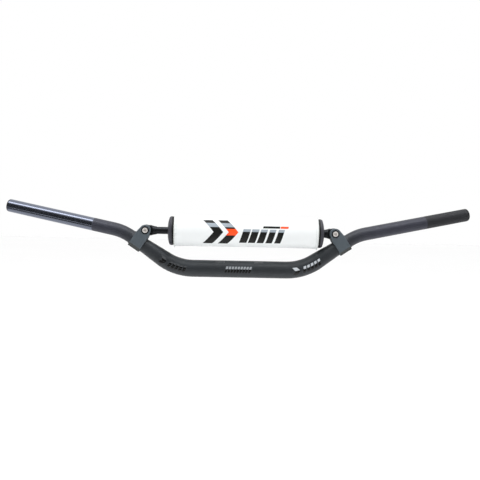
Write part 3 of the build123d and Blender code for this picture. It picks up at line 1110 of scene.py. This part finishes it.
class TubeLook(bpy.types.PropertyGroup):
    """Finish of the main tube."""

    polished_length: a_length("Polished", "Length polished for the throttle tube", 160)
    roughened_length: a_length("Roughened", "Length roughened for the glued grip", 83)
    dye_shift_start: a_length("Bluer from", "Distance out from the middle", 165)
    dye_shift_end: a_length("Bluest from", "Distance out from the middle", 225)
    tube_dark: a_colour("Tube, dark", "Darker patches of the centre", 0.03, 0.034, 0.038)
    tube_light: a_colour("Tube, light", "Lighter patches of the centre", 0.05, 0.056, 0.063)
    grip_dark: a_colour("Grips, dark", "Darker patches past the upper bends", 0.036, 0.038, 0.052)
    grip_light: a_colour("Grips, light", "Lighter patches past the bends", 0.066, 0.069, 0.093)
    roughened_colour: a_colour("Roughened", "Roughened end", 0.028, 0.029, 0.034)
    polish_colour: a_colour("Polished", "Polished end", 0.21, 0.23, 0.29)
    mark_colour: a_colour("Print", "Glossy print", 0.006, 0.006, 0.006)
    # Painted reflection: pale colour on the print's upper bands
    mark_painted_reflection: a_colour("Print, pale", "Upper bands of the print", 0.62, 0.66, 0.7)
    tick_colour: a_colour("Ticks", "Etched ticks", 0.5, 0.5, 0.5)
    tube_roughness: a_share("Roughness", "Roughness of the peened tube", 0.44)
    polish_roughness: a_share("Polish", "Roughness of the polished end", 0.16)
    mark_roughness: a_share("Print gloss", "Roughness of the print", 0.1)


class HardwareLook(bpy.types.PropertyGroup):
    """Finishes of the clamps, fasteners, crossbar, discs and plugs."""

    clamp_dark: a_colour("Clamp, dark", "Darker patches", 0.085, 0.105, 0.122)
    clamp_light: a_colour("Clamp, light", "Lighter patches", 0.122, 0.148, 0.17)
    # Painted shade: colour of the clamps' faces turned down
    clamp_facet_shade: a_colour("Clamp, milled", "Lower facets", 0.05, 0.056, 0.055)
    # Painted highlight along the clamps' edges
    clamp_edge_highlight: a_colour("Clamp edges", "Rubbed edges", 0.3, 0.33, 0.36)
    steel_dark: a_colour("Steel, dark", "Darker patches of plated steel", 0.72, 0.69, 0.66)
    steel_light: a_colour("Steel, light", "Lighter patches", 0.95, 0.91, 0.88)
    # Black washers, also darkened to stand for the shade in the recess round each head
    washer_dark: a_colour("Washer, dark", "Blacked washer", 0.02, 0.02, 0.02)
    washer_light: a_colour("Washer, light", "Blacked washer", 0.05, 0.05, 0.05)
    crossbar_dark: a_colour("Crossbar, dark", "Darker patches", 0.028, 0.03, 0.034)
    crossbar_light: a_colour("Crossbar, light", "Lighter patches", 0.055, 0.058, 0.065)
    disc_dark: a_colour("Disc, dark", "Darker patches", 0.036, 0.035, 0.045)
    disc_light: a_colour("Disc, light", "Lighter patches", 0.058, 0.057, 0.073)
    # Painted shade: the discs' inner band next to the pad
    disc_rim_shade: a_colour("Disc rim", "Inner band of the rim", 0.008, 0.008, 0.009)
    # Painted shade: a bolt head is painted near black outside this radius
    bolt_bright_radius: a_length("Bright head", "Radius left bright on a bolt head", 4.35)
    # Painted shade: radius of the near-black disc painted in the recess round each head
    recess_shade_radius: a_length("Recess", "Radius of the blacked recess round a head", 6.5)
    insert_dark: a_colour("Nut ring, dark", "Locking ring", 0.05, 0.12, 0.36)
    insert_light: a_colour("Nut ring, light", "Locking ring", 0.09, 0.2, 0.5)
    plug_dark: a_colour("Plug, dark", "End plug", 0.012, 0.012, 0.013)
    plug_light: a_colour("Plug, light", "End plug", 0.024, 0.024, 0.026)


class PadLook(bpy.types.PropertyGroup):
    """Cut, sewing and colours of the pad."""

    middle_radius: a_length("Middle radius", "Radius between the flares", 26.0)
    flare_length: a_length("Flare", "Length of the flare at each end", 15.0)
    edge_radius: a_length("Edge", "Rounding at the end seam", 2.2)
    end_hole_radius: a_length("End hole", "Radius of the hole in each end panel", 9.0)
    foam_bore_radius: a_length("Bore", "Radius of the foam's bore", 6.3)
    cover_inset: a_length("Cover inset", "Unfilled cover inside the pad's outline", 0.9)
    cover_thickness: a_length("Cover", "Thickness of the coated cloth", 1.1)
    skin_margin: a_length("Margin", "Kept free inside the pad's outline", 0.12)
    slit_width: a_length("Slit", "Gap at the closure", 1.0)
    row_spacing: a_length("Rows", "Spacing of the cover's mesh rows", 3.6)
    fine_spacing: a_length("Fine rows", "Their spacing over the flares", 0.9)
    seam_depth: a_length("Seam depth", "How far the end stitching draws the cover in", 0.5)
    seam_reach: a_length("Seam reach", "How wide that dip is", 1.1)
    columns_around: a_count("Columns", "Mesh columns round the cover", 145, 24)
    fill_pressure: a_number("Pressure", "How hard the foam fills the cover", 4.0, min=0.0)
    fill_frames: a_count("Frames", "Steps of the filling", 20, 2)
    swell_limit: a_length("Swell", "Most that a point moves while filling", 0.9)
    pucker_depth: a_length("Pucker depth", "Depth of the seam's puckers", 0.28)
    pucker_reach: a_length("Pucker reach", "How far the puckers run in", 7.0)
    pucker_count: a_count("Puckers", "Puckers round an end", 34, 1)
    piping_radius: a_length("Piping", "Radius of the corded end seam", 0.95)
    seam_setback: a_length("Seam setback", "End stitching in from the end", 4.4)
    stitch_pitch: a_length("Stitch pitch", "Distance from stitch to stitch", 3.2)
    thread_thickness: a_length("Thread", "Thickness of the thread", 0.55)
    flap_seam: a_length("Flap seam", "Flap stitching in from its edge", 3.0)
    flap_corner: a_length("Flap corner", "Corner radius of the flap", 6.0)
    cover_colour: a_colour("Cover", "White coated cloth", 0.86, 0.885, 0.89)
    cover_shade: a_colour("Cover, soiled", "Faint soiling", 0.62, 0.64, 0.61)
    cover_roughness: a_share("Cover gloss", "Roughness of the cover", 0.5)
    print_dark: a_colour("Print, dark", "Printed stripes", 0.012, 0.012, 0.011)
    print_grey: a_colour("Print, grey", "Printed upper bands", 0.35, 0.4, 0.45)
    print_accent: a_colour("Print, accent", "Printed accents", 1.0, 0.09, 0.016)
    foam_dark: a_colour("Foam, dark", "Pores", 0.018, 0.018, 0.019)
    foam_light: a_colour("Foam, light", "Foam", 0.05, 0.05, 0.053)
    hook_colour: a_colour("Hook tape", "Hook tape", 0.02, 0.02, 0.022)
    thread_colour: a_colour("Thread", "Thread", 0.75, 0.77, 0.78)


class StageLook(bpy.types.PropertyGroup):
    """Floor, lights and camera."""

    floor_drop: a_length("Floor drop", "Floor below the handlebar", 260)
    floor_size: a_length("Floor size", "Half the floor's side", 9000)
    floor_colour: a_colour("Floor", "Pale floor", 0.9, 0.9, 0.9)
    strip_power: a_number("Strip", "Power of the overhead strip", 13.0)
    fill_power: a_number("Fill", "Power of each fill light", 8.0)
    room_light: a_number("Room", "Light from all round", 0.9)
    ceiling_light: a_number("Ceiling", "More of it from above", 0.8)
    front_light: a_number("Front", "What comes from the front", 0.05)
    table_light: a_number("Table", "A low band of light", 1.1)
    camera_distance: a_length("Distance", "Camera to the aim point", 1300)
    camera_yaw: an_angle("Yaw", "Camera to the right of straight back", 1.673)
    camera_tilt: an_angle("Tilt", "Camera looks down by this", 2.0)
    camera_roll: an_angle("Roll", "Camera's lean", 1.216)
    camera_lens: FloatProperty(
        name="Lens", description="Focal length in mm", default=58.04, subtype="DISTANCE_CAMERA"
    )
    aim_x: a_length("Aim x", "Aim point, along the bar", -0.4)
    aim_z: a_length("Aim z", "Aim point, above the centre section's axis", 49.1)


class HandlebarSettings(bpy.types.PropertyGroup):
    """All the settings of the handlebar."""

    tube: PointerProperty(type=TubeLook)
    hardware: PointerProperty(type=HardwareLook)
    pad: PointerProperty(type=PadLook)
    stage: PointerProperty(type=StageLook)


# Operators


class HANDLEBAR_OT_tube(bpy.types.Operator):
    """Finish the main tube"""

    bl_idname = "handlebar.tube"
    bl_label = "Main Tube"

    def execute(self, context):
        finish_nodes(tube_finish(context.scene.handlebar.tube), "main_bar")
        return {"FINISHED"}


class HANDLEBAR_OT_clamps(bpy.types.Operator):
    """Finish the crossbar clamps"""

    bl_idname = "handlebar.clamps"
    bl_label = "Clamps"

    def execute(self, context):
        look = context.scene.handlebar.hardware
        finish_nodes(clamp_finish(look), *both_sides("clamp"))
        return {"FINISHED"}


class HANDLEBAR_OT_fasteners(bpy.types.Operator):
    """Finish the clamp bolts, washers, nuts and locking rings"""

    bl_idname = "handlebar.fasteners"
    bl_label = "Fasteners"

    def execute(self, context):
        look = context.scene.handlebar.hardware
        axis = (0, 1, 0)
        insert = rubbery_finish("nut_ring", look.insert_dark, look.insert_light, 0.45)
        plated = (look.steel_dark, look.steel_light)
        # Black washer colours, partly painted shade for the recess round each head
        shade_blacked = (look.washer_dark, look.washer_light)
        # Painted shade: each bolt head is painted near black outside its bright radius
        kinds = (
            ("plated_bolt_", "clamp_bolt_", plated, 0.35 * MM, 0.34, 0.3, look.bolt_bright_radius),
            ("plated_nut_", "clamp_nut_", plated, 0.5 * MM, 0.38, 0.4, ALL_OVER),
            ("black_shaded_washer_", "bolt_washer_", shade_blacked, 0.4 * MM, 0.5, 1.0, ALL_OVER),
        )
        for side in ("left", "right"):
            low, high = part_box("clamp_bolt_" + side)
            centre = (low + high) / 2
            for name, node, tones, *rest in kinds:
                finish_nodes(machined_finish(name + side, tones, centre, axis, *rest), node + side)
        finish_nodes(insert, *both_sides("nut_insert"))
        return {"FINISHED"}


class HANDLEBAR_OT_crossbar(bpy.types.Operator):
    """Finish the crossbar tube and its eyes"""

    bl_idname = "handlebar.crossbar"
    bl_label = "Crossbar"

    def execute(self, context):
        look = context.scene.handlebar.hardware
        tube = satin_tube_finish("satin_crossbar", look.crossbar_dark, look.crossbar_light, 0.4)
        tones = (look.crossbar_dark, look.crossbar_light)
        centre = (0, 0, CROSSBAR_Z)
        eye = machined_finish("turned_eye", tones, centre, (1, 0, 0), 0.4 * MM, 0.42, 0.9)
        finish_nodes(tube, "crossbar_tube")
        finish_nodes(eye, *both_sides("crossbar_eye"))
        return {"FINISHED"}


class HANDLEBAR_OT_discs(bpy.types.Operator):
    """Finish the pad's two end discs"""

    bl_idname = "handlebar.discs"
    bl_label = "End Discs"

    def execute(self, context):
        look = context.scene.handlebar.hardware
        low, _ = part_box("pad_disc_right")
        material = moulded_finish(
            "moulded_disc",
            look.disc_dark,
            look.disc_light,
            look.disc_rim_shade,
            0.5,
            low.x - PAD_MIDDLE + 2.4 * MM,
        )
        finish_nodes(material, *both_sides("pad_disc"))
        return {"FINISHED"}


class HANDLEBAR_OT_end_plugs(bpy.types.Operator):
    """Finish the tube's end plugs"""

    bl_idname = "handlebar.end_plugs"
    bl_label = "End Plugs"

    def execute(self, context):
        look = context.scene.handlebar.hardware
        material = rubbery_finish("moulded_plug", look.plug_dark, look.plug_light, 0.55)
        finish_nodes(material, *both_sides("bar_end_plug"))
        return {"FINISHED"}


class HANDLEBAR_OT_foam(bpy.types.Operator):
    """Cut the pad's foam core"""

    bl_idname = "handlebar.foam"
    bl_label = "Foam Core"

    def execute(self, context):
        piece = cut_foam(context.scene.handlebar.pad)
        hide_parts("pad_foam")
        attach(piece, "pad")
        return {"FINISHED"}


class HANDLEBAR_OT_cover(bpy.types.Operator):
    """Sew the pad's cover with its corded end seams and their stitching"""

    bl_idname = "handlebar.cover"
    bl_label = "Cover"

    def execute(self, context):
        look = context.scene.handlebar.pad
        sleeve = sew_cover(look)
        welt = plain_cloth_finish("piping_cloth", look.cover_colour, look.cover_shade, 0.5, 0.5 * MM)
        thread = plain_cloth_finish("thread", look.thread_colour, look.cover_shade, 0.6, 0.4 * MM)
        parts = [sleeve]
        for side in (-1, 1):
            parts.append(sew_piping(look, side, welt))
        parts.append(sew_end_rows(look, sleeve, thread))
        for piece in parts:
            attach(piece, "pad")
        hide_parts("pad_cover")
        return {"FINISHED"}


class HANDLEBAR_OT_closure(bpy.types.Operator):
    """Sew the pad's closure: hook tape, flap and the flap's stitching"""

    bl_idname = "handlebar.closure"
    bl_label = "Closure"

    def execute(self, context):
        look = context.scene.handlebar.pad
        low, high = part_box("pad_flap")
        strip_low, strip_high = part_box("pad_hook_strip")
        flap_half = (high.x - low.x) / 2
        strip_half = (strip_high.x - strip_low.x) / 2
        tape = plain_cloth_finish("hook_tape", look.hook_colour, look.foam_light, 0.8, 1.1 * MM)
        cloth = plain_cloth_finish(
            "flap_cloth", look.cover_colour, look.cover_shade, look.cover_roughness, 0.6 * MM
        )
        thread = plain_cloth_finish("flap_thread", look.thread_colour, look.cover_shade, 0.6, 0.4 * MM)
        hook = wrapped_strip(
            "pad_hook_tape",
            strip_half,
            HOOK_HALF_WIDTH,
            HOOK_RADIUS,
            HOOK_THICKNESS,
            HOOK_CORNER,
            tape,
        )
        flap = wrapped_strip(
            "pad_closing_flap",
            flap_half,
            FLAP_HALF_WIDTH,
            FLAP_RADIUS,
            FLAP_THICKNESS,
            look.flap_corner,
            cloth,
        )
        rows = sew_flap_rows(look, FLAP_STITCH_RADIUS, flap_half, FLAP_HALF_WIDTH, thread)
        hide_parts("pad_hook_strip")
        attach(hook, "pad")
        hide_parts("pad_flap")
        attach(flap, "pad")
        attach(rows, "pad")
        return {"FINISHED"}


class HANDLEBAR_OT_stage(bpy.types.Operator):
    """Set up the floor, the lights and the camera"""

    bl_idname = "handlebar.stage"
    bl_label = "Stage"

    def execute(self, context):
        look = context.scene.handlebar.stage
        lay_floor(look)
        light_room(look)
        hang_lights(look)
        place_camera(look)
        context.scene.view_settings.view_transform = "Standard"
        return {"FINISHED"}


def lay_floor(look):
    """A plain pale floor below the handlebar, left out of its reflections."""
    half = look.floor_size
    height = CAD_LOW.z - look.floor_drop
    corners = [(-half, -half, height), (half, -half, height)]
    corners += [(half, half, height), (-half, half, height)]
    finish = Finish("pale_floor", Roughness=0.9)
    drift = finish.speckle(finish.place(), 0.8, 2.0)
    paler = tuple(min(1.0, value * 1.02) for value in look.floor_colour)
    finish.set("Base Color", finish.mixed(drift, look.floor_colour, paler))
    floor = new_piece("floor", corners, [(0, 1, 2, 3)], finish.material)
    floor.visible_glossy = False


def light_room(look):
    """A white room, bright above and behind and dark in front, where the camera stands."""
    world = bpy.data.worlds.new("studio")
    bpy.context.scene.world = world
    world.use_nodes = True
    room = Nodes(world.node_tree)
    direction = room.node("ShaderNodeTexCoord", out="Generated")
    height = room.part_of(direction, "Z")
    above = room.ramped(height, 0.55, 0.85)
    below = room.ramped(-height, 0.6, 0.72)
    table = within(height, -0.41, -0.33, 0.02) * look.table_light
    behind = room.ramped(room.part_of(direction, "Y"), -0.4, 0.15)
    lit = above.or_more(below).or_more(behind)
    strength = look.front_light + lit * (look.room_light - look.front_light)
    mirrored = room.node("ShaderNodeLightPath", out="Is Glossy Ray")
    strength = strength + above * (1.0 - mirrored) * look.ceiling_light
    strength = strength.or_more(table)
    glow = room.node("ShaderNodeBackground", None, {"Color": WHITE, "Strength": strength})
    backdrop = room.node("ShaderNodeBackground", None, {"Color": WHITE, "Strength": 1.0})
    seen = room.node("ShaderNodeLightPath", out="Is Camera Ray")
    either = room.node("ShaderNodeMixShader", None, {0: seen, 1: glow, 2: backdrop})
    room.feed(world.node_tree.nodes["World Output"].inputs["Surface"], either)


def hang_light(name, place, size, power, reflected):
    """One soft rectangular light turned to the handlebar, seen in its gloss or not."""
    target = (CAD_LOW + CAD_HIGH) / 2
    data = bpy.data.lights.new(name, "AREA")
    data.shape = "RECTANGLE"
    data.size, data.size_y = size
    data.energy = power
    lamp = bpy.data.objects.new(name, data)
    lamp.location = place
    lamp.rotation_mode = "QUATERNION"
    lamp.rotation_quaternion = (target - Vector(place)).to_track_quat("-Z", "Y")
    lamp.visible_glossy = reflected
    bpy.context.scene.collection.objects.link(lamp)


def hang_lights(look):
    """A long strip overhead, and two broad lights in front that only fill."""
    hang_light("strip_light", (0.0, -0.4, 1.4), (3.0, 0.4), look.strip_power, True)
    hang_light("left_fill", (-1.3, -1.7, 1.3), (1.4, 1.4), look.fill_power, False)
    hang_light("right_fill", (1.3, -1.7, 1.3), (1.4, 1.4), look.fill_power, False)


def place_camera(look):
    """The camera, by its aim point, distance, yaw, tilt and roll."""
    yaw = look.camera_yaw
    tilt = look.camera_tilt
    ahead = Vector(
        (math.sin(yaw) * math.cos(tilt), math.cos(yaw) * math.cos(tilt), -math.sin(tilt))
    )
    across = Vector((math.cos(yaw), -math.sin(yaw), 0.0))
    up = across.cross(ahead)
    lean = look.camera_roll
    right = across * math.cos(lean) + up * math.sin(lean)
    top = up * math.cos(lean) - across * math.sin(lean)
    aim = Vector((look.aim_x, 0.0, look.aim_z))
    place = aim - ahead * look.camera_distance
    turned = Matrix((right, top, -ahead)).transposed().to_4x4()
    data = bpy.data.cameras.new("camera")
    data.lens = look.camera_lens
    data.sensor_width = SENSOR_WIDTH
    data.clip_start = 0.05
    data.clip_end = 60.0
    camera = bpy.data.objects.new("camera", data)
    camera.matrix_world = Matrix.Translation(place) @ turned
    bpy.context.scene.collection.objects.link(camera)
    bpy.context.scene.camera = camera


class HANDLEBAR_PT_panel(bpy.types.Panel):
    """Settings and steps of the handlebar."""

    bl_idname = "HANDLEBAR_PT_panel"
    bl_label = "Handlebar"
    bl_space_type = "VIEW_3D"
    bl_region_type = "UI"
    bl_category = "Handlebar"

    def draw(self, context):
        settings = context.scene.handlebar
        for group in (settings.tube, settings.hardware, settings.pad, settings.stage):
            box = self.layout.box()
            for name in type(group).__annotations__:
                box.prop(group, name)
        for operator in OPERATORS:
            self.layout.operator(operator.bl_idname)


OPERATORS = (
    HANDLEBAR_OT_tube,
    HANDLEBAR_OT_clamps,
    HANDLEBAR_OT_fasteners,
    HANDLEBAR_OT_crossbar,
    HANDLEBAR_OT_discs,
    HANDLEBAR_OT_end_plugs,
    HANDLEBAR_OT_foam,
    HANDLEBAR_OT_cover,
    HANDLEBAR_OT_closure,
    HANDLEBAR_OT_stage,
)
SETTINGS = (TubeLook, HardwareLook, PadLook, StageLook, HandlebarSettings)


def register():
    """Registers the settings, operators and panel."""
    for item in (*SETTINGS, *OPERATORS, HANDLEBAR_PT_panel):
        bpy.utils.register_class(item)
    bpy.types.Scene.handlebar = PointerProperty(type=HandlebarSettings)


def unregister():
    """Takes them off again."""
    del bpy.types.Scene.handlebar
    for item in reversed((*SETTINGS, *OPERATORS, HANDLEBAR_PT_panel)):
        bpy.utils.unregister_class(item)


def main():
    """Builds everything, one step after another."""
    register()
    steps = bpy.ops.handlebar
    steps.tube()
    steps.clamps()
    steps.fasteners()
    steps.crossbar()
    steps.discs()
    steps.end_plugs()
    steps.foam()
    steps.cover()
    steps.closure()
    steps.stage()


if __name__ == "__main__":
    main()
